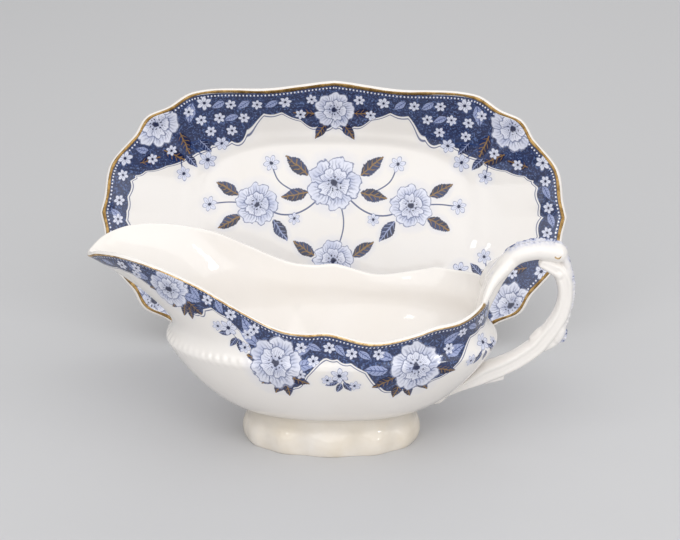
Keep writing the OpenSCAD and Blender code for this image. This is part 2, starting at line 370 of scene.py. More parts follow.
def rose_ink(nodes):
    """A wild rose: an outer and an inner round of five petals, veins, and a ring of stamens."""
    x, y, shade = figure(nodes, "rose", 0.24)
    r = (x * x + y * y).math("SQRT")
    a = y.math("ARCTAN2", x)
    fifth = math.pi / 5
    t = (a + r * 0.35).fold(fifth) / fifth
    s = (a + fifth - r * 0.5).fold(fifth) / fifth
    ruffle = (a * 13).math("SINE") * 0.02
    edge = 0.97 - t**3 * 0.2 - t.bell(0, 0.2) * 0.09 + ruffle
    ring = 0.57 - s**3 * 0.13 - s.bell(0, 0.22) * 0.06 + ruffle
    petals = r.under(edge, 0.03)
    outer = r - ring
    outline = (r - edge).line(-0.01, 0.05, 0.03) | outer.line(0, 0.045, 0.03)
    parts = ((1 - t) * r).under(0.028, 0.03) & outer.under(0, -0.03)
    inner_parts = ((1 - s) * r).under(0.022, 0.03) & outer.under(0, 0.03)
    rays = (a * 35 + r * 5).math("SINE").under(-0.3, 0.7)
    veins = rays & (outer.under(0.2, 0.25) & outer.under(0, -0.03) | r.under(0.42, 0.12))
    heart = r.under(0.13, 0.04) | (abs(r - 0.235) + a.fold(fifth / 2) * r).under(0.038, 0.02)
    hollow = (outer.under(0.16, 0.3) & outer.under(0, -0.05)) * 0.65 + r.under(0.3, 0.3) * 0.5
    lines = (outline | parts | inner_parts | veins * 0.6) & petals
    wash = (grain(nodes, 6 * mm) - 0.50) * 2.4
    return petals, lines, heart & petals, hollow + shade * 0.25 + wash, r


def star_ink(nodes):
    """A small six-petalled blossom with a dark eye."""
    x, y, shade = figure(nodes, "star", 0.3)
    r = (x * x + y * y).math("SQRT")
    sixth = math.pi / 6
    t = y.math("ARCTAN2", x).fold(sixth) / sixth
    edge = 0.95 - t**1.6 * 0.42
    petals = r.under(edge, 0.06)
    folds = (t * r).under(0.03, 0.05) & r.under(0.6, 0.1)
    lines = (r - edge).line(-0.02, 0.09, 0.06) | ((1 - t) * r).under(0.05, 0.06) | folds
    return petals, lines & petals, r.under(0.2, 0.06), shade, r


def leaf_ink(nodes):
    """A pointed leaf with notched edges, a midrib and side veins. Its third number says if it is gilt."""
    x, y, gilt = figure(nodes, "leaf", 0.25)
    width = (1 - x * x) * (x * -0.28 + 1) * 0.44 + (x - abs(y) * 0.5).fold(0.085) * 0.5
    leaf = abs(y).under(width, 0.05) & abs(x).under(1, 0.05)
    rib = abs(y).under(0.045, 0.04)
    side = (x - abs(y) * 0.9).fold(0.19).under(0.032, 0.04) & abs(y).under(width * 0.75, 0.1)
    flow = abs(y).under(width + 0.2, 0.5) & abs(x).under(1.1, 0.5)
    return leaf, (rib | side) & leaf, gilt, y, flow


def stem_ink(nodes):
    """A thin stalk: the first number runs along it, and the second goes across it in millimetres."""
    s, d, weight = figure(nodes, "stem")
    return abs(d).under(weight * 0.34, 0.16) & abs(s - 0.5).under(0.5, 0.01)


def print_transfer(nodes, clay, dots):
    """The cobalt transfer under the glaze: band, edging, stalks, leaves with their gilding, and flowers."""
    def cover(share, under, over):
        return blend_colour(nodes, share, under, over)

    run, inset, band = figure(nodes, "band")
    printed = inset.under(dots["start"], -0.2)
    speck = grain(nodes, 0.9 * mm, detail=3, distort=0.6)
    cloud = grain(nodes, 11 * mm)
    ground = cover(speck.under(0.5, 0.16) * 0.6 + (cloud - 0.5) * 0.7 + 0.3, ink_mid, ink_dark)
    ground = cover(speck.under(0.6, -0.1) * 0.8 + (cloud - 0.58) * 0.9, ground, ink_light)
    *rose, rose_r = rose_ink(nodes)
    *star, star_r = star_ink(nodes)
    leaf, leaf_veins, gilt, leaf_side, leaf_flow = leaf_ink(nodes)
    flow = (band * -1).under(0, 5) * 0.5 | rose_r.under(1.05, 0.5) * 0.5
    flow = flow | star_r.under(1.1, 0.8) * 0.4 | leaf_flow * 0.45
    colour = cover(flow * (cloud * 0.6 + 0.5), clay, ink_wash)
    ground_share = (band * -1).under(0, 0.22)
    edging = (band + 0.85).line(0, 0.42, 0.2)
    colour = cover(ground_share * 0.97, colour, ground)
    colour = cover(edging * 0.85, colour, ink_mid)
    dot_r = (run.fold(dots["pitch"] / 2) ** 2 + (inset - dots["at"]) ** 2).math("SQRT")
    colour = cover(dot_r.under(dots["size"], 0.2) & ground_share, colour, petal_white)
    colour = cover(stem_ink(nodes) * 0.9, colour, ink_mid)
    leaf_tone = cover(leaf_side.under(0, 0.3) * 0.5 + (speck - 0.5) * 0.8, ink_dark, ink_mid)
    pale = gilt.under(-0.5, 0.1)
    colour = cover(leaf * 0.97, colour, cover(pale, leaf_tone, ink_pale))
    vein_tone = cover(gilt.under(0.5, -0.1), cover(pale, ink_pale, ink_mid), vein_gold)
    colour = cover(leaf_veins * 0.9, colour, vein_tone)
    for petals, lines, heart, shade in (star, rose):
        colour = cover(petals * 0.97, colour, cover(shade * 0.6, petal_white, ink_pale))
        colour = cover(lines * 0.8, colour, ink_mid)
        colour = cover(heart * 0.95, colour, ink_dark)
    return cover(printed, clay, colour)


no_figure = (9.0, 9.0, 9.0)
no_print = (0, -50, -50)


def lay_values(mesh, name, values, nothing=no_figure):
    """Keeps three numbers for each corner of each face. Faces past the last value hold nothing."""
    store = mesh.attributes.new(name, "FLOAT_VECTOR", "CORNER")
    rest = np.tile(np.array(nothing, float), (len(mesh.loops) - len(values) // 3, 1))
    store.data.foreach_set("vector", np.concatenate([values, rest.ravel()]))


def lay_map(mesh, flat):
    """Keeps where each corner of each face lies on the piece's flat map for baking."""
    mesh.uv_layers.new(name="OFBake").data.foreach_set("uv", np.clip(flat, 0, 1).ravel())


class Sheet:
    """A face of a piece that takes a print: its corners in space, and where they lie on the flat drawing."""

    def __init__(self, mesh, corners, drawing):
        self.mesh, self.corners, self.drawing = mesh, corners / mm, drawing
        self.middle, self.flat_middle = self.corners.mean(1), drawing.mean(1)
        ahead, beside = self.corners[:, 1] - self.corners[:, 0], self.corners[:, 3] - self.corners[:, 0]
        self.out = unit(np.cross(ahead, beside))

    def seat(self, x, y):
        """The point of the piece under a point of the drawing, and the drawing's two directions there."""
        i = np.argmin(np.hypot(*(self.flat_middle - (x, y)).T))
        span = self.corners[i] - self.middle[i]
        flat = self.drawing[i] - self.flat_middle[i]
        along_x, along_y = np.linalg.lstsq(flat, span, rcond=None)[0]
        across = unit(along_x)
        down = np.cross(self.out[i], across)
        down *= np.sign(down @ along_y)
        x_off, y_off = (x, y) - self.flat_middle[i]
        return self.middle[i] + along_x * x_off + along_y * y_off, across, down, i

    def lay_figures(self, name, figures):
        """Presses figures, each (x, y, half length, turn, third number), on the faces round their seats."""
        farthest, least_facing = 1.5, 0.3
        best = np.full(len(self.middle), farthest)
        values = np.tile(no_figure, (*self.corners.shape[:2], 1))
        for x, y, size, turn, third in figures:
            seat, across, down, i = self.seat(x, y)
            reach = np.linalg.norm(self.middle - seat, axis=1) / size
            pick = (reach < best) & (self.out @ self.out[i] > least_facing)
            best[pick] = reach[pick]
            d = (self.corners[pick] - seat) / size
            c, s = math.cos(turn), math.sin(turn)
            ahead, beside = d @ (across * c + down * s), d @ (down * c - across * s)
            values[pick] = np.stack([ahead, beside, np.full(ahead.shape, third)], -1)
        lay_values(self.mesh, name, values.ravel())

    def lay_stems(self, stems):
        """Draws stalks, each a list of points and a weight, on the faces beside them."""
        farthest, steps = 2.4, 90
        best = np.full(len(self.middle), farthest)
        values = np.tile(no_figure, (*self.corners.shape[:2], 1))
        for points, weight in stems:
            line = through(points, np.linspace(0, len(points) - 1, steps))
            run = unit(np.gradient(line, axis=0))
            length = run_of(line)[-1]
            for i, (point, ahead) in enumerate(zip(line, run)):
                reach = np.hypot(*(self.flat_middle - point).T)
                pick = reach < best
                best[pick] = reach[pick]
                d = self.drawing[pick] - point
                share = i / (len(line) - 1) + d @ ahead / length
                beside = d @ np.array([-ahead[1], ahead[0]])
                values[pick] = np.stack([share, beside, np.full(share.shape, weight)], -1)
        lay_values(self.mesh, "stem", values.ravel())

    def lay_print(self, roses, stars, leaves, stems):
        self.lay_figures("rose", roses)
        self.lay_figures("star", stars)
        self.lay_figures("leaf", leaves)
        self.lay_stems(stems)


def grid_corners(values, columns):
    """Values at the four corners of each face of a grid of rows that close on themselves."""
    a, b = values[:, :columns], values[:, 1:columns + 1]
    return np.stack([a[:-1], b[:-1], b[1:], a[1:]], 2).reshape(-1, 4, values.shape[-1])


def closed(rows):
    """Rows with their first point once more at the end."""
    return np.concatenate([rows, rows[:, :1]], 1)


# The bowl's print is laid out unrolled: millimetres along the rim from the spout's tip, and down from it.
step_down = np.linalg.norm(np.diff(bowl_rows[:len(outside)], axis=0), axis=2)
down = np.concatenate([np.cumsum(step_down[::-1], 0)[::-1], np.zeros((1, bowl_columns))])
rim_half_run = rim_run[-1] / 2 / mm
flat_run = np.broadcast_to(rim_run / mm - rim_half_run, (len(outside), bowl_columns + 1))
flat_down = closed(down) / mm
# Each swag: its place as a share of the way to the handle, how deep it hangs, and its half width
full_drop = 17.5
swags = ((0.19, 13, 18), (0.46, full_drop, 18.5), (0.76, full_drop, 18.5))
# The sprigs that hang between the swags: their places, and how far below the rim
sprigs, sprig_low = (0.61, 0.9, 0.325), 17.0
band_depth = 9.4


def bowl_band(run):
    """Depth of the printed band below the rim, with a swag hanging at each place."""
    run = np.abs(run)
    depth = band_depth + 1.1 * np.abs(np.sin(run * math.pi / 7.5)) ** 0.8
    for place, drop, half in swags:
        depth += drop * bell(run, place * rim_half_run, half, 4)
    return depth - 4 * bell(run, 0, 10)


def nearest(points, spots):
    """For each spot, the number of the nearest point and how far off it is. Flat places lie at height 0."""
    height = ((0, 0), (0, 3 - points.shape[1]))
    tree = kdtree.KDTree(len(points))
    for i, point in enumerate(np.pad(points, height)):
        tree.insert(point, i)
    tree.balance()
    found = np.array([tree.find(spot)[1:] for spot in np.pad(spots, height)])
    return found[:, 0].astype(int), found[:, 1]


run_line = np.linspace(-rim_half_run, rim_half_run, 8000)
band_line = np.column_stack([run_line, bowl_band(run_line)])
off_line = nearest(band_line, np.column_stack([flat_run.ravel(), flat_down.ravel()]))[1]
band_inside = np.sign(bowl_band(flat_run) - flat_down) * off_line.reshape(flat_run.shape)
bowl_values = grid_corners(np.stack([flat_run, flat_down, band_inside], -1), bowl_columns)
lay_values(bowl.data, "band", bowl_values.ravel(), nothing=no_print)

# Leaves round a rose: place and half length as shares of its petals, lean, and 1 for gilt or -1 for pale
rose_leaves = ((-0.98, 0.42, 0.48, 2.75, 1), (0.98, 0.45, 0.48, 0.35, 1), (-0.42, 0.98, 0.42, 2.0, 1),
               (0.42, 0.98, 0.42, 1.15, 1), (0, 1.1, 0.4, 1.57, 1), (-1.35, -0.2, 0.42, 3.3, -1),
               (1.35, -0.2, 0.42, -0.2, -1), (-1.2, -0.75, 0.36, 3.7, -1), (1.2, -0.75, 0.36, -0.5, -1))
roses, stars, leaves, stems = [], [], [], []
for side in (-1, 1):
    for place, drop, half in swags:
        at = side * place * rim_half_run
        big = drop / full_drop
        petal = 5.2 + 7.0 * big
        low = 6.2 + 9.3 * big
        roses.append((at, low, petal, place * 5, 0.1))
        for shift, fall, size, lean_by, gilt in rose_leaves:
            leaves.append((at + shift * petal, low + fall * petal, size * petal, lean_by, gilt))
    # Each sprig has three blossoms
    for place in sprigs:
        at = side * place * rim_half_run
        stars.append((at, sprig_low, 4.4, 0.2, 0.3))
        for way, star_turn, leaf_turn in ((-1, 0.2, 2.4), (1, 0.6, 0.75)):
            end = (at + way * 8.5, sprig_low + 4.2)
            stars.append((*end, 2.9, star_turn, 0.35))
            leaves.append((at + way * 4.8, sprig_low + 5.4, 3.2, leaf_turn, 0))
            stems.append(([(at, sprig_low), (at + way * 4, sprig_low + 3.6), end], 1))
        leaves.append((at, sprig_low + 7.0, 3.0, 1.57, 0))
    stars.append((side * 0.10 * rim_half_run, 6.2, 3.0, 0.2, 0.1))


def clear_of(x, y, figures, gap):
    """Whether a place stands clear of the figures that are already laid."""
    return all(math.hypot(x - f[0], y - f[1]) > f[2] + gap for f in figures)


def fill_ground(i, row, x, y, turn, gap, star_size, leaf_size):
    """Fills a clear place between the roses with a small blossom, or every other one with a pale leaf."""
    if not clear_of(x, y, roses, 1.6) or not clear_of(x, y, stars, gap):
        return
    if (i + row) % 2:
        stars.append((x, y, star_size, i * 0.7, 0.15))
    elif clear_of(x, y, leaves, 0.5):
        leaves.append((x, y, leaf_size, turn + (-1) ** i * 0.6 + row, -1))


for i, at in enumerate(np.arange(6 - rim_half_run, rim_half_run - 6, 6.1)):
    for row, low in enumerate((5.4, 11.6, 17.8)):
        if bowl_band(at) >= low + 2.4:
            fill_ground(i, row, at, low, 0, 2.4, 2.9, 3.3)
bowl_corners = grid_corners(closed(outside), bowl_columns)
Sheet(bowl.data, bowl_corners, bowl_values[..., :2]).lay_print(roses, stars, leaves, stems)

# On the flat map for baking, the far half lies below the near half, with the two small floors between
inside_rows = len(bowl_rows) - len(outside) - len(lip)
row_stops = np.cumsum([0, len(belly_rows), len(wall_rows), len(lip), inside_rows - 1])
map_gap = 0.003
row_share = np.interp(np.arange(len(bowl_rows)), row_stops, (map_gap, 0.13, 0.36, 0.375, 0.465))
column_share = np.arange(bowl_columns + 1) / (bowl_columns // 2)
flat = grid_corners(np.stack(np.broadcast_arrays(column_share, row_share[:, None]), -1), bowl_columns)
flat[flat[..., 0].mean(1) > 1] += (-1, 0.5)
flat[..., 0] = map_gap + (1 - 2 * map_gap) * flat[..., 0]
floor_ring = 0.008 * np.column_stack([np.cos(around), np.sin(around)])
floors = [floor_ring[::-1] + (0.2, 0.485), floor_ring + (0.6, 0.485)]
lay_map(bowl.data, np.concatenate([flat.reshape(-1, 2), *floors]))

glaze, nodes, gloss, clay = new_glaze("bowl_glaze")
put(nodes, gloss.inputs["Base Color"],
    print_transfer(nodes, clay, {"start": 0.05, "pitch": 1.7, "at": 1.2, "size": 0.34}))
bowl.data.materials.append(glaze)

# The foot: a rolled ring with shallow lobes, cast apart, stuck under the bowl and wiped smooth.
# It is left plain and creamier, with painted shade in the hollow above the roll, under the bowl, and in the
# creases between its lobes.

foot_half_len, foot_half_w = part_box("foot")[1][:2]
foot_flare, foot_wall, foot_bed = 3 * mm, 5.5 * mm, 0.8 * mm
foot_lobes, foot_lobe, lobe_fade = 12, 0.9 * mm, 0.8
# The foot's creamier glaze, and the greyer beige of its painted shade
foot_cream, painted_shade_colour = (0.70, 0.60, 0.45), (0.50, 0.455, 0.39)
# The outside of the ring from the joint to the ground: its height and reach as shares of the whole
foot_roll = [(1, 0), (0.9, 0), (0.8, 0.05), (0.71, 0.16), (0.63, 0.34), (0.55, 0.6), (0.46, 0.82),
             (0.37, 0.94), (0.27, 1), (0.15, 0.96), (0.06, 0.84), (0, 0.66)]
foot_ground = len(foot_roll) - 1


def belly_share(plan):
    reach = np.where(plan[:, 0] < 0, belly_front, belly_back)
    across = np.abs(plan[:, 1] / belly_half) ** belly_full
    return (np.abs(plan[:, 0] / reach) ** belly_full + across) ** (1 / belly_full)


foot_angles = np.linspace(0, 2 * math.pi, 480, endpoint=False)
seam = oval(foot_angles, foot_half_len - foot_flare, foot_half_w - foot_flare, belly_full)
seam_z = rise(belly_share(seam))
lobe_share = 1 - lobe_fade * np.cos(foot_angles) ** 4
lobes = foot_lobe * lobe_share * (np.cos(foot_lobes * foot_angles) - 1)


def foot_row(k, inset, bed=0.0):
    high, out_share = through(foot_roll, np.array([k]))[0]
    plan = seam + ((foot_flare + lobes) * out_share - inset)[:, None] * out_of(seam)
    return np.column_stack([plan, np.maximum(high, 0) * seam_z + bed])


# Slip creeps up the bowl at the joint, a little uneven from the thumb that wiped it
creep = (0.9 + 0.3 * np.sin(7 * foot_angles + 1) + 0.25 * np.sin(17 * foot_angles)) * mm
fillet = seam + creep[:, None] * out_of(seam)
fillet_row = np.column_stack([fillet, rise(belly_share(fillet)) + 0.25 * mm])
outer_rows = [foot_row(0, foot_bed, foot_bed), fillet_row]
roll_places = np.linspace(0.5, foot_ground, 64)
outer_rows += [foot_row(k, 0) for k in roll_places]
inner_rows = [foot_row(k, foot_wall) for k in np.linspace(foot_ground, 0.2, 40)]
inner_rows.append(foot_row(0, foot_wall, foot_bed))
foot_rows = np.array(outer_rows + inner_rows)[::-1]
foot = lay_skin("foot_ring", foot_rows, ends=False)
# Painted shade: darkest in the hollow above the roll, where the bowl overhangs it, and in the creases between
# the lobes
hollow = np.concatenate([[1, 1], bell(roll_places, 0, 4, 4), np.zeros(len(inner_rows))])[::-1]
crease = lobe_share * (0.5 - 0.5 * np.cos(foot_lobes * foot_angles)) ** 4
painted_shade = np.clip(hollow[:, None] + 0.35 * crease, 0, 1)
foot.data.attributes.new("painted_shade", "FLOAT", "POINT").data.foreach_set("value", painted_shade.ravel())
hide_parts("foot")
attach(foot, "boat")
column_share = np.linspace(map_gap, 1 - map_gap, len(foot_angles) + 1)
row_share = np.linspace(map_gap, 1 - map_gap, len(foot_rows) + 1)
flat = np.stack(np.broadcast_arrays(column_share, row_share[:, None]), -1)
lay_map(foot.data, grid_corners(flat, len(foot_angles)).reshape(-1, 2))
glaze, nodes, gloss, clay = new_glaze("foot_glaze", lumps=0.5, lump_size=4 * mm)
cream = blend_colour(nodes, grain(nodes, 14 * mm) * 0.9, clay, foot_cream)
# The painted shade darkens the cream in the hollow and the creases
painted_shade_share = Ink(nodes, laid(nodes, "painted_shade")["Fac"])
put(nodes, gloss.inputs["Base Color"], blend_colour(nodes, painted_shade_share * 0.4, cream, painted_shade_colour))
foot.data.materials.append(glaze)

# The handle: a looped branch of clay, cast apart and stuck with slip to the rim and low on the belly.
# A broad rib springs from the rim, ends in a knob and carries a grooved stem with frilled leaf edges.
# The frills took dabs of blue under the glaze, and the strands have grown into one in the kiln.

handle_low = np.array(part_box("handle")[0])
strand_step, strand_sides, end_steps = 0.4, 24, 10


def limb(path, thick, width):
    """A rounded strand of clay through points (x, y, z), with its half thickness and half width at each."""
    k = np.linspace(0, len(path) - 1, max(int(run_of(path)[-1] / strand_step), 14))
    line = through(path, k)
    halves = through(np.column_stack([thick, width]), k)
    thick, width = np.pad(halves, ((end_steps, end_steps), (0, 0)), "edge").T
    ends = np.linspace(0, 1, end_steps + 1)[1:, None]
    head = line[0] - ends[::-1] * thick[0] * unit(line[1] - line[0])
    tail = line[-1] + ends * thick[-1] * unit(line[-1] - line[-2])
    line = np.concatenate([head, line, tail])
    run = unit(np.gradient(line, axis=0))
    across = unit(np.array([0, 1, 0]) - run * run[:, 1:2])
    side = np.cross(run, across)
    gone = run_of(line)
    near_end = np.clip(np.minimum(gone, gone[-1] - gone) / thick, 0, 1)
    blunt = np.maximum(np.sqrt(1 - (1 - near_end) ** 2), 0.06)
    a = np.linspace(0, 2 * math.pi, strand_sides, endpoint=False)[:, None]
    reach = (thick * blunt)[:, None, None] * np.cos(a) * side[:, None]
    spread = (width * blunt)[:, None, None] * np.sin(a) * across[:, None]
    return line[:, None] + reach + spread


def beside(path, shift):
    """The path moved out of the loop by a shift at each of its points."""
    path = np.array(path, float)
    run = unit(np.gradient(path, axis=0))
    return path + np.array(shift)[:, None] * np.cross(run, (0, 1, 0))


def pearl(place, half):
    lift = np.linspace(-1.4, 1.4, 9)[:, None]
    a = np.linspace(0, 2 * math.pi, 12, endpoint=False)
    ball = np.stack([np.cos(lift) * np.cos(a), np.cos(lift) * np.sin(a), np.sin(lift) + 0 * a], -1)
    return np.array(place) + np.array(half) * ball


def spaced(path, pitch):
    """Points at an even pitch along a path."""
    line = through(path, np.linspace(0, len(path) - 1, 800))
    gone = run_of(line)
    return np.column_stack([np.interp(np.arange(0, gone[-1], pitch), gone, c) for c in line.T])


rib = [(66.5, 0, 58), (67.8, 0, 63), (70.2, 0, 70), (74.4, 0, 79), (81.2, 0, 87), (90, 0, 89.8),
       (96, 0, 89.5), (100.2, 0, 88.7)]
rib_thick = [2.6, 3.2, 3.8, 4.1, 4.2, 4.2, 4.3, 4.5]
rib_width = [4.5, 5.0, 5.6, 5.6, 5.2, 4.9, 4.7, 4.5]
stem = [(93.2, 0, 84), (97, 0, 82.6), (101.2, 0, 80.2), (103.6, 0, 75.5), (104.2, 0, 70), (103.8, 0, 65),
        (102.2, 0, 59.3), (98.7, 0, 53), (93, 0, 45.2), (88, 0, 40.8), (82.8, 0, 37.2), (76.7, 0, 34),
        (70.5, 0, 31.3), (65.2, 0, 28.3), (59.6, 0, 25.2), (54.6, 0, 22.3), (50.2, 0, 19.7), (46.2, 0, 17.3)]
stem_half = np.array([2.0, 2.8, 3.5, 3.8, 3.6, 3.6, 3.8, 4.0, 4.3, 4.4, 4.4, 4.5, 4.6, 3.8, 2.6, 1.8,
                      1.4, 1.1])
stem_width = np.array([2.8, 3.5, 4.0, 4.2, 4.0, 4.0, 4.1, 4.2, 4.3, 4.4, 4.6, 4.9, 5.2, 5.3, 4.9, 4.4,
                       3.7, 2.8])
# The stem is three strands side by side, with a groove between them
limbs = [limb(rib, rib_thick, rib_width), limb(stem, 0.78 * stem_half, 0.9 * stem_width),
         limb(beside(stem, -0.46 * stem_half), 0.54 * stem_half, stem_width),
         limb(beside(stem, 0.46 * stem_half), 0.48 * stem_half, 0.92 * stem_width)]
# The leaf that falls from the knob, the thumb spur, the leaf tab behind the bend with its stalk, and
# the leaf and the tip under the root
knob_leaf = [(103.2, 0, 87.4), (104.4, 0, 83.4), (105.4, 0, 79.4), (105.8, 0, 75)]
spur = [(96.2, 0, 53.4), (93.0, 0, 50.4), (89.6, 0, 47.9)]
tab = [(103.2, 0, 56.5), (102.8, 0, 51.6), (101.2, 0, 47.6)]
tab_stalk = [(92.5, 0, 41.2), (97, 0, 44.2), (101.4, 0, 46.9)]
root_leaf = [(60, 0, 25.0), (66, 0, 26.7), (72, 0, 27.9), (76.9, 0, 28.7)]
root_tip = [(53.5, 0, 21.0), (50.8, 0, 19.0), (48.6, 0, 17.6), (46.9, 0, 16.7)]
limbs += [limb(knob_leaf, [1.6, 1.9, 1.6, 1.2], [2.8, 2.8, 2.4, 2.0]),
          limb(spur, [1.2, 1.9, 0.9], [2.4, 3.2, 2.2]), limb(tab, [1.4, 2.3, 2.2], [2.2, 3.2, 2.8]),
          limb(tab_stalk, [0.8, 1.9, 1.7], [1.5, 2.2, 2.2]),
          limb(root_leaf, [1.6, 2.0, 1.9, 1.4], [2.8, 3.4, 3.2, 2.4]),
          limb(root_tip, [1.2, 1.8, 2.3, 1.9], [2.4, 2.8, 3.0, 2.4])]
limbs += [pearl((100.9, y, 79.2), (1.7, 1.2, 1.7)) for y in (-3.4, 3.4)]
# Fingers of slip that carry the rim up into the rib
web_half, web_x = 15, 76.5
for c in np.flatnonzero((np.abs(middle[:, 1]) < web_half * mm) & (middle[:, 0] > 0.5 * back_reach))[::2]:
    x, y, z = middle[c] / mm
    root = (middle[c] - 4 * mm * up[c]) / mm
    bend = (x + 0.42 * (web_x - x), 0.7 * y, 77.6)
    finger = [root, (x, y, z), bend, (web_x, 0.33 * y, 82.4), (web_x + 3, 0.2 * y, 85)]
    limbs.append(limb(finger, [1.0, 1.4, 2.3, 3.0, 3.0], [1.2, 1.7, 2.4, 3.0, 3.0]))

# Each frill: its path, the pitch and half sizes of its beads, and how much blue its two ends took
frills = [([(77.5, 2.4, 88.9), (82.0, 2.4, 91.9), (89.5, 2.4, 93.9), (96, 2.4, 94.0), (100.7, 2.0, 93.1),
            (103.7, 1.4, 90.6)], 1.5, (0.8, 1.0, 0.9), 1.0, 1.0),
          ([(79.5, -1.0, 91.0), (86.0, -1.0, 93.9), (93, -1.0, 94.2), (99, -1.0, 93.9)],
           2.3, (0.9, 0.8, 0.5), 0.6, 0.6),
          ([(104.6, 0, 86.6), (105.7, 0, 83.0), (107.0, 0, 78.6), (107.7, 0, 74.6), (107.8, 0, 69.7),
            (107.3, 0, 64.0), (105.7, 0, 57.6), (104.5, 0, 53.6)], 1.35, (0.9, 1.7, 0.6), 1.0, 0.2),
          ([(105.2, 0, 51.6), (105.2, 0, 49.4), (104.5, 0, 47.3), (103.2, 0, 45.8)],
           1.1, (0.7, 1.6, 0.6), 1.0, 1.0)]
chance = np.random.default_rng(7)
frill_beads = []
for path, pitch, half, blue_first, blue_last in frills:
    spots = spaced(path, pitch)
    for spot, blue in zip(spots, np.linspace(blue_first, blue_last, len(spots))):
        limbs.append(pearl(spot, np.array(half) * chance.uniform(0.75, 1.15)))
        frill_beads.append((*spot, blue * chance.uniform(0.5, 1)))

points, faces = [], []
for rows in limbs:
    at = len(points)
    points += (rows.reshape(-1, 3) * mm).tolist()
    faces += [[at + i for i in face] for face in skin_faces(*rows.shape[:2], True)]
mesh = bpy.data.meshes.new("handle_strands")
mesh.from_pydata(points, [], faces)
strands = new_piece("handle_strands", mesh)
grown = strands.modifiers.new("grown together", "REMESH")
grown.mode = "VOXEL"
grown.voxel_size = 0.38 * mm
wiped = strands.modifiers.new("wiped", "SMOOTH")
wiped.factor = 0.5
wiped.iterations = 5
mesh = bpy.data.meshes.new_from_object(strands.evaluated_get(bpy.context.evaluated_depsgraph_get()))
bpy.data.objects.remove(strands)
handle = new_piece("handle_branch", mesh)
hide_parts("handle")
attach(handle, "boat")

place = np.empty(len(mesh.vertices) * 3)
mesh.vertices.foreach_get("co", place)
place = place.reshape(-1, 3) / mm
frill_beads = np.array(frill_beads)
bead, off_bead = nearest(frill_beads[:, :3], place)
blue = frill_beads[bead, 3] * bell(off_bead, 0, 2.2)
mesh.attributes.new("blue", "FLOAT", "POINT").data.foreach_set("value", blue)
# The joint with the rim was wiped more than the rest
joint_end, joint_low = 82, 50
joint = handle.vertex_groups.new(name="joint")
for i in np.flatnonzero((place[:, 0] < joint_end) & (place[:, 2] > joint_low)):
    joint.add([int(i)], min(1, (joint_end - place[i, 0]) / 4), "REPLACE")
wiped = handle.modifiers.new("joint wiped", "SMOOTH")
wiped.vertex_group = "joint"
wiped.factor = 0.6
wiped.iterations = 40
# On the flat map for baking, the near side lies left and the far side right
map_span = 82
corner_vertex = np.empty(len(mesh.loops), int)
mesh.loops.foreach_get("vertex_index", corner_vertex)
far = np.repeat(np.array([f.center.y > 0 for f in mesh.polygons]), [f.loop_total for f in mesh.polygons])
share = (place[corner_vertex][:, [0, 2]] - handle_low[[0, 2]] / mm) / map_span
side_share = 0.02 + 0.6 * share[:, 0]
lay_map(mesh, np.column_stack([np.where(far, 1 - side_share, side_share), 0.02 + 0.95 * share[:, 1]]))

glaze, nodes, gloss, clay = new_glaze("handle_glaze")
blue = Ink(nodes, laid(nodes, "blue")["Fac"])
dab = grain(nodes, 1.5 * mm)
colour = blend_colour(nodes, blue * dab * 1.9, clay, ink_pale)
colour = blend_colour(nodes, (blue * 0.5 + dab).under(0.88, -0.12) * 0.85, colour, ink_mid)
put(nodes, gloss.inputs["Base Color"], colour)
mesh.materials.append(glaze)

# The gilding: bright gold in oil, brushed by hand as a line below each edge and fired on last.
# It is a hair's breadth thick, a little uneven, and one dab of it marks the knob of the handle.


def new_gold(name, worn, bright):
    """Fired gold that goes from the worn colour to the bright one in small patches."""
    material, nodes, gloss = new_finish(name)
    gloss.inputs["Metallic"].default_value = 1
    wear = grain(nodes, 3 * mm, detail=3)
    put(nodes, gloss.inputs["Base Color"], blend_colour(nodes, (wear - 0.3) * 2.4, worn, bright))
    put(nodes, gloss.inputs["Roughness"], wear * 0.24 + 0.14)
    return material


# Two copies of one gold: the boat's is painted lighter, a painted highlight for the lamps that its rounded
# lip catches, and the tray's is darker
boat_gold = new_gold("boat_gold", (0.30, 0.17, 0.06), (0.86, 0.63, 0.34))
tray_gold = new_gold("tray_gold", (0.15, 0.085, 0.027), (0.42, 0.27, 0.105))
# Section of a gilt line: places across it as shares of its half width, and their height in millimetres
gilt_section = [(-1, -0.03), (-0.8, 0.035), (-0.4, 0.05), (0, 0.05), (0.4, 0.05), (0.8, 0.035), (1, -0.03),
                (0, -0.06)]


def lay_gilt(name, body, gold, surface, run, first, last, ends):
    """A line of gold along a run of stations, between two distances in from the edge. The surface gives
    the points of the piece and the directions out of it at a distance in from the edge."""
    wobble = 0.10 * np.sin(run / 5.3) + 0.08 * np.sin(run / 2.1 + 1)
    middle_in = (first + last) / 2 + 0.05 * np.sin(run / 9)
    half_wide = (last - first) / 2 * (1 + wobble)
    section = []
    for across, lift in gilt_section:
        point, out_here = surface(middle_in + across * half_wide)
        section.append(point + lift * mm * out_here)
    line = lay_skin(name, np.stack(section, 1), ends)
    line.data.materials.append(gold)
    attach(line, body)


def bowl_face(over):
    """Points of the bowl that far in millimetres from its crest to the outside, clear of the handle."""
    turn_over = np.minimum(over * mm / (lip_wall / 2), math.pi / 2)
    a = (math.pi / 2 - turn_over)[:, None]
    below = (over * mm - turn_over * lip_wall / 2)[:, None]
    point = middle + lip_wall / 2 * (np.cos(a) * out[-1] + lip_tall * np.sin(a) * up) - below * up
    out_here = unit(np.cos(a) * out[-1] + np.sin(a) * up)
    return point[gilt_from:gilt_to], out_here[gilt_from:gilt_to]


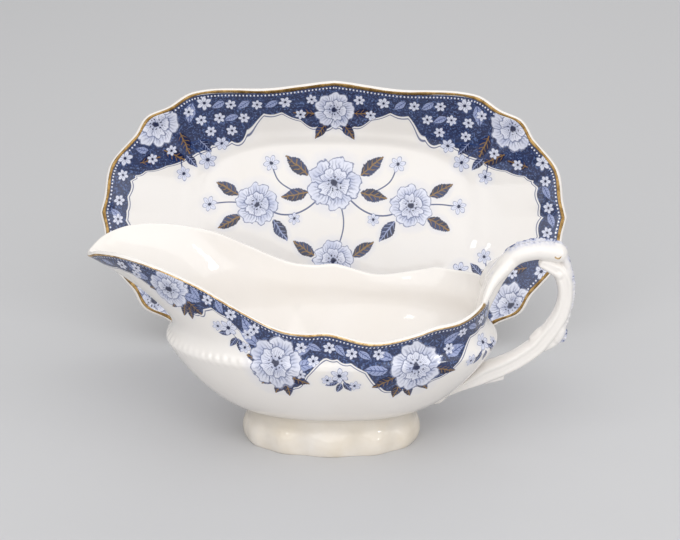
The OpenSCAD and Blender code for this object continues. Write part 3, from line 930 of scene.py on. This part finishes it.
gilt_from = np.flatnonzero(middle[:, 1] > (web_half - 1) * mm)[0]
gilt_to = np.flatnonzero(middle[:, 1] < -(web_half - 1) * mm)[-1]
rim_stations = rim_run[:-1] / mm
from_handle = np.minimum(rim_stations - rim_stations[gilt_from], rim_stations[gilt_to] - rim_stations)
gilt_over = 1.38
full_brush = 0.48 + 0.12 * np.sin(rim_stations / 11) + 0.5 * bell(from_handle, 0, 8)
lay_gilt("rim_gilding", "boat", boat_gold, bowl_face, rim_stations,
         gilt_over - full_brush, gilt_over + full_brush, True)

# The dab on the knob: a short tick, thicker at its first end
dab_section = [(-1, -0.04), (-0.75, 0.05), (-0.4, 0.06), (0, 0.06), (0.4, 0.06), (0.75, 0.05), (1, -0.04),
               (0, -0.12)]
knob = BVHTree.FromObject(handle, bpy.context.evaluated_depsgraph_get())
tick = spaced([(98.6, 0, 88.4), (99.7, 0, 87.3), (100.8, 0, 87.6), (102.0, 0, 89.0)], 0.12) * mm
side = np.cross(unit(np.gradient(tick, axis=0)), (0, 1, 0))
wide = (np.sin(np.linspace(0.35, 2.95, len(tick))) * np.linspace(0.85, 0.45, len(tick)))[:, None] * mm
section = []
for across, lift in dab_section:
    spots = tick + across * wide * side
    hits = [knob.find_nearest((x, handle_low[1], z)) for x, y, z in spots]
    section.append(np.array([point + lift * mm * out_here for point, out_here, face, reach in hits]))
dab = lay_skin("knob_gilding", np.stack(section, 1))
dab.data.materials.append(boat_gold)
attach(dab, "boat")

# The under-tray: an oblong dish of pressed earthenware with a waved edge and a flat well.
# It stands on its long edge behind the boat and leans back, and it carries the same print.

tray_low, tray_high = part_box("under_tray")
tray_half_len = (tray_high[0] - tray_low[0]) / 2
tray_mid_x = (tray_high[0] + tray_low[0]) / 2
tray_half_w, tray_depth, tray_off = 67 * mm, 22 * mm, 95 * mm
well_half_len, well_half_w = 71 * mm, 38 * mm
tray_wall, tray_foot_h, tray_foot_w, foot_slope = 4 * mm, 2.6 * mm, 4 * mm, 1.2 * mm
tray_lean = math.radians(20)
tray_full, well_full = 2.6, 3
# The waves of its edge: the angle from the long axis, and the reach as a share of the plain oval's
tray_waves = [(0, 1), (8, 0.985), (20, 0.988), (33.5, 0.964), (42, 0.998), (48, 0.985), (56.5, 1.016),
              (73, 0.954), (90, 1)]
# Its section from the edge to the well: shares of the way in, and of the rise
tray_section = [(0, 0.9), (0.015, 0.97), (0.05, 1), (0.1, 0.97), (0.25, 0.77), (0.45, 0.52), (0.65, 0.3),
                (0.82, 0.13), (0.94, 0.05), (1, 0)]
well_z = tray_foot_h + tray_wall
tray_rise = tray_depth - well_z


def tray_edge(t):
    p = oval(t, 1, 1, tray_full)
    a = np.degrees(np.abs(np.arctan2(p[:, 1], p[:, 0])))
    wave = along(tray_waves, np.where(a > 90, 180 - a, a))
    return wave[:, None] * oval(t, tray_half_len, tray_half_w, tray_full)


tray_columns = 800
tray_angles, tray_run = even_angles(tray_edge, tray_columns)
edge_line = tray_edge(tray_angles)
well_line = oval(tray_angles, well_half_len, well_half_w, well_full)


def flat_row(plan, z):
    return np.column_stack([plan, np.full(len(plan), z)])


def tray_row(share, z, inset=0.0):
    plan = edge_line + (well_line - edge_line) * share
    return flat_row(plan - inset * unit(plan), z)


def well_row(size, z):
    return flat_row(well_line * size, z)


shares = np.concatenate([np.linspace(0, 0.1, 9)[:-1], np.linspace(0.1, 1, 46)])
heights = along(tray_section, shares)
face_rows = [tray_row(s, well_z + tray_rise * h) for s, h in zip(shares, heights)]
sizes = np.linspace(1, 0, 41)[1:-1]
dip = 0.9 * mm * np.clip((1 - sizes) / 0.06, 0, 1) ** 0.7
well_rows = [well_row(s, well_z - d) for s, d in zip(sizes, dip)]
back_shares = np.linspace(0.015, 0.8, 14)
back_rows = [tray_row(s, tray_foot_h + tray_rise * h, 1.2 * mm * (s < 0.06))
             for s, h in zip(back_shares, along(tray_section, back_shares))]
foot_plan = [(-foot_slope, tray_foot_h), (0, 0.2 * mm), (0.3 * mm, 0), (tray_foot_w - 0.3 * mm, 0),
             (tray_foot_w, 0.2 * mm), (tray_foot_w + foot_slope, tray_foot_h)]
well_out = unit(np.sign(well_line) * np.abs(well_line / (well_half_len, well_half_w)) ** (well_full - 1)
                / (well_half_len, well_half_w))
under_rows = [flat_row(well_line - inset * well_out, z) for inset, z in foot_plan]
under_rows += [well_row(s, tray_foot_h) for s in (0.6, 0.3, 0.05)]
tray_flat = np.array(under_rows[::-1] + back_rows[::-1] + face_rows + well_rows)

tray_turn = Matrix.Rotation(math.pi / 2 - tray_lean, 4, "X")
tray_lift = -min((tray_turn @ Vector(p)).z for p in tray_flat.reshape(-1, 3)[::7])
tray_mid_y = tray_off + tray_half_w * math.sin(tray_lean) + tray_depth * math.cos(tray_lean)
tray_place = np.array(Matrix.Translation((tray_mid_x, tray_mid_y, tray_lift)) @ tray_turn)
turn = tray_place[:3, :3]


def stand_up(points):
    """Points of the tray as it lies flat, moved to where it stands."""
    return points @ turn.T + tray_place[:3, 3]


tray_rows = stand_up(tray_flat)
tray = lay_skin("tray_dish", tray_rows)
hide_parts("under_tray")
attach(tray, "tray")

# The tray's print: a border whose depth follows swags at the corners, and a posy in the well.
fine_angles, fine_run = even_angles(tray_edge, tray_columns * 8)
fine_edge = tray_edge(fine_angles)
tray_plan = closed(tray_flat)[..., :2]
front = len(under_rows) + len(back_rows)
edge_point, off_edge = nearest(fine_edge, tray_plan[front:].reshape(-1, 2))
inset = np.full(tray_plan.shape[:2], float(no_print[1]))
inset[front:] = off_edge.reshape(-1, tray_columns + 1) / mm
run = np.zeros(tray_plan.shape[:2])
run[front:] = fine_run[edge_point].reshape(-1, tray_columns + 1) / mm


def tray_band(angle):
    """Depth of the border by direction from the middle, as seen with the dish drawn out to a square."""
    a = np.abs(np.degrees(angle))
    a = np.where(a > 90, 180 - a, a)
    return 11.4 + 15.0 * bell(a, 42, 20, 4) + 10.5 * bell(a, 90, 13, 4)


stretch = tray_plan / (tray_half_len, tray_half_w)
angle = np.arctan2(stretch[..., 1], stretch[..., 0])
scallop = 1.3 * np.abs(np.sin(run * math.pi / 8.2))
band_inside = 0.9 * (tray_band(angle) + scallop - inset)
band_inside[:front] = no_print[2]
tray_values = grid_corners(np.stack([run, inset, band_inside], -1), tray_columns)
jump = tray_values[..., 0] - tray_values[:, :1, 0]
whole = tray_run[-1] / mm
tray_values[..., 0] -= whole * np.round(jump / whole)
lay_values(tray.data, "band", tray_values.ravel(), nothing=no_print)

# The rose in each corner, and its leaves: place beside it, half length, lean, and 1 for gilt or -1 for pale
corner_x, corner_y = 89, 44
corner_leaves = ((-14, -9, 6.5, 0.9, 1), (-9, -15, 6.5, 0.2, 1), (-17, 6, 5.5, 1.4, -1),
                 (3, -17.5, 5.5, -0.5, 1))
# The spray that leaves each corner and nods over the well: the bend and the end of each stalk, and the
# half length, turn and shade of its blossom
spray = ((69, 31.5, 64, 27, 4.8, 0.4, 0.45), (65, 37, 57, 35.5, 4.0, 0.1, 0.4),
         (77, 27, 76, 20, 4.0, 0.7, 0.4))
roses, stars, leaves, stems = [], [], [], []
for sx in (-1, 1):
    for sy in (-1, 1):
        x, y = sx * corner_x, sy * corner_y
        roses.append((x, y, 12.5, 0.5 * sx + sy, 0.1))
        lean_in = math.atan2(sy, sx) + math.pi
        for shift_x, shift_y, size, turn_by, gilt in corner_leaves:
            leaf_turn = lean_in + (turn_by - 0.6) * sx * sy
            leaves.append((x + sx * shift_x, y + sy * shift_y, size, leaf_turn, gilt))
        stars += [(x + sx * 15, y - sy * 17, 4.2, 0.3, 0.1), (x - sx * 24, y + sy * 11, 4.2, 0.6, 0.1)]
        for bend_x, bend_y, end_x, end_y, size, turn_by, shade in spray:
            end = (sx * end_x, sy * end_y)
            stars.append((*end, size, turn_by, shade))
            stems.append(([(sx * 74, sy * 35), (sx * bend_x, sy * bend_y), end], 1))
        leaves += [(sx * 65, sy * 34, 4.4, lean_in, 0), (sx * 72, sy * 26.5, 4.4, lean_in, 0)]
for sy in (-1, 1):
    roses.append((0, sy * 52.5, 10.8, 0.3, 0.15))
    for sx in (-1, 1):
        leaves.append((sx * 15, sy * 51, 5.8, 0 if sx > 0 else math.pi, 1))
        leaves.append((sx * 7, sy * 42.5, 5.2, -sy * math.pi / 2 + sx * sy * 0.6, 1))
        stars.append((sx * 24.5, sy * 56, 3.6, 0.2, 0.1))
# The posy in the well: three roses in a garland that is alike on both sides, and one rose below
posy_leaves = ((19, 25, 7.5, 0.7, 1), (20, 10, 7, -0.2, 1), (54, 13, 6.5, 0.5, 1), (53, -4, 6.5, -0.5, 1),
               (27, -8, 6.5, -2.2, 0), (15, -17, 6.5, 0.6, 1), (12, -33, 6, -0.9, 1))
roses += [(0, 16, 14.5, 0.2, 0.2), (0, -23, 11, 0.7, 0.3)]
stems.append(([(0, 16), (5, -4), (0, -23)], 1))
for sx in (-1, 1):
    roses.append((sx * 39, 5, 11.5, 0.7 + 0.2 * sx, 0.3))
    for x, y, size, turn_by, gilt in posy_leaves:
        leaves.append((sx * x, y, size, turn_by if sx > 0 else math.pi - turn_by, gilt))
    stars += [(sx * 32, 26, 4.4, 0.2, 0.2), (sx * 63, 5, 4.2, 0.3, 0.2), (sx * 20, -2, 3.4, 0.5, 0.3)]
    stems += [([(0, 16), (sx * 14, 3), (sx * 26, 0), (sx * 39, 5)], 1.2),
              ([(sx * 19, 11), (sx * 28, 17), (sx * 32, 26)], 1),
              ([(sx * 39, 5), (sx * 52, 6), (sx * 63, 5)], 1)]
inward = np.gradient(fine_edge, axis=0)[:, ::-1] * (-1, 1)
inward = unit(inward) * np.sign((inward * -fine_edge).sum(1))[:, None]
for i, at in enumerate(np.arange(0, whole, 6.6)):
    k = np.searchsorted(fine_run[:-1], at * mm) % len(fine_edge)
    for row, low in enumerate((8.0, 14.4, 20.6)):
        x, y = fine_edge[k] / mm + low * inward[k]
        if tray_band(math.atan2(y / tray_half_w, x / tray_half_len)) >= low + 2.2:
            fill_ground(i, row, x, y, math.atan2(*inward[k]), 2.6, 3.1, 3.7)
off_drawing = 900
drawing = grid_corners(tray_plan / mm, tray_columns)
drawing[:front * tray_columns] = off_drawing
tray_corners = grid_corners(closed(tray_rows), tray_columns)
Sheet(tray.data, tray_corners, drawing).lay_print(roses, stars, leaves, stems)

# On the flat map for baking, the face lies below and the back above, both as seen in plan
plan_share = tray_plan / (2 * tray_half_len, 2 * tray_half_w)
faces_on, backs_on = np.array([(0.97, 0.56), (0.97, 0.38)])
face_mid, back_mid = np.array([(0.5, 0.29), (0.5, 0.79)])
flat = grid_corners(plan_share, tray_columns)
flat[front * tray_columns:] = face_mid + faces_on * flat[front * tray_columns:]
flat[:front * tray_columns] = back_mid + backs_on * flat[:front * tray_columns]
lay_map(tray.data, np.concatenate([flat.reshape(-1, 2), back_mid + backs_on * plan_share[0, -2::-1],
                                   face_mid + faces_on * plan_share[-1, :-1]]))
glaze, nodes, gloss, clay = new_glaze("tray_glaze")
put(nodes, gloss.inputs["Base Color"],
    print_transfer(nodes, clay, {"start": 2.5, "pitch": 1.8, "at": 3.7, "size": 0.4}))
tray.data.materials.append(glaze)


def tray_face(inset):
    """Points of the tray's face that far in millimetres in from its edge."""
    def spots(inset):
        share = inset * mm / np.linalg.norm(well_line - edge_line, axis=1)
        plan = edge_line + (well_line - edge_line) * share[:, None]
        return np.column_stack([plan, well_z + tray_rise * along(tray_section, share)])
    point = spots(inset)
    slope = spots(inset + 0.2) - point
    out_here = unit(np.cross(slope, np.roll(point, -1, 0) - np.roll(point, 1, 0)))
    out_here *= np.sign(out_here[:, 2:])
    return stand_up(point), out_here @ turn.T


lay_gilt("tray_gilding", "tray", tray_gold, tray_face, tray_run[:-1] / mm, 1.3, 2.95, False)

# The table for the picture: a plain top of pale grey paper, on which the boat and the tray stand loose.
# Large soft lamps light it, and the camera is at the height of a seated guest.

table_grey = (0.58, 0.58, 0.59)
table_half, table_z = 6, -0.05 * mm
mesh = bpy.data.meshes.new("table_top")
corners = [(-1, -1), (1, -1), (1, 1), (-1, 1)]
mesh.from_pydata([(table_half * x, table_half * y, table_z) for x, y in corners], [], [(0, 1, 2, 3)])
table = new_piece("table_top", mesh)
paper, nodes, gloss = new_finish("paper")
gloss.inputs["Base Color"].default_value = (*table_grey, 1)
gloss.inputs["Roughness"].default_value = 0.8
mesh.materials.append(paper)


def lamp(name, place, aim, size, watts):
    light = bpy.data.lights.new(name, "AREA")
    light.shape = "RECTANGLE"
    light.size, light.size_y = size
    light.energy = watts
    source = bpy.data.objects.new(name, light)
    source.location = place
    source.rotation_euler = (Vector(aim) - Vector(place)).to_track_quat("-Z", "Y").to_euler()
    bpy.context.collection.objects.link(source)


lamp("key", (-0.5, -1.25, 1.15), (0, 0.05, 0.05), (2.0, 2.0), 15.8)
lamp("fill", (0.95, -1.1, 0.95), (0, 0.05, 0.05), (1.7, 1.7), 11.0)
lamp("overhead", (0.0, 0.1, 1.2), (0, 0.1, 0), (1.4, 1.1), 2.7)
lamp("back", (0.2, 1.5, 1.1), (0, 0.1, 0.05), (1.4, 1.2), 5.4)
lamp("window", (0.80, -0.66, 0.29), (0, 0.0, 0.05), (0.12, 0.08), 0.38)
lamp("window_left", (-0.55, -0.8, 0.55), (0, 0.0, 0.05), (0.09, 0.06), 0.21)

world = bpy.data.worlds.new("studio")
bpy.context.scene.world = world
world.use_nodes = True
sky = world.node_tree.nodes["Background"]
sky.inputs["Color"].default_value = (1, 1, 1, 1)
sky.inputs["Strength"].default_value = 0.45

camera_height = math.radians(21)
camera_side = math.radians(2.05)
camera_away = 1000 * mm
aim_right, aim_up = 3.89 * mm, 74.0 * mm
look = Vector((-math.sin(camera_side) * math.cos(camera_height),
               math.cos(camera_side) * math.cos(camera_height), -math.sin(camera_height)))
right = Vector((math.cos(camera_side), math.sin(camera_side), 0))
upward = right.cross(look)
aim = right * aim_right + upward * aim_up
lens = bpy.data.cameras.new("camera")
lens.sensor_fit = "HORIZONTAL"
lens.sensor_width = 36
lens.lens = 115.68
camera = bpy.data.objects.new("camera", lens)
camera_turn = Matrix((right, upward, -look)).transposed().to_4x4()
camera.matrix_world = Matrix.Translation(aim - look * camera_away) @ camera_turn
bpy.context.collection.objects.link(camera)
bpy.context.scene.camera = camera
bpy.context.scene.view_settings.view_transform = "Standard"
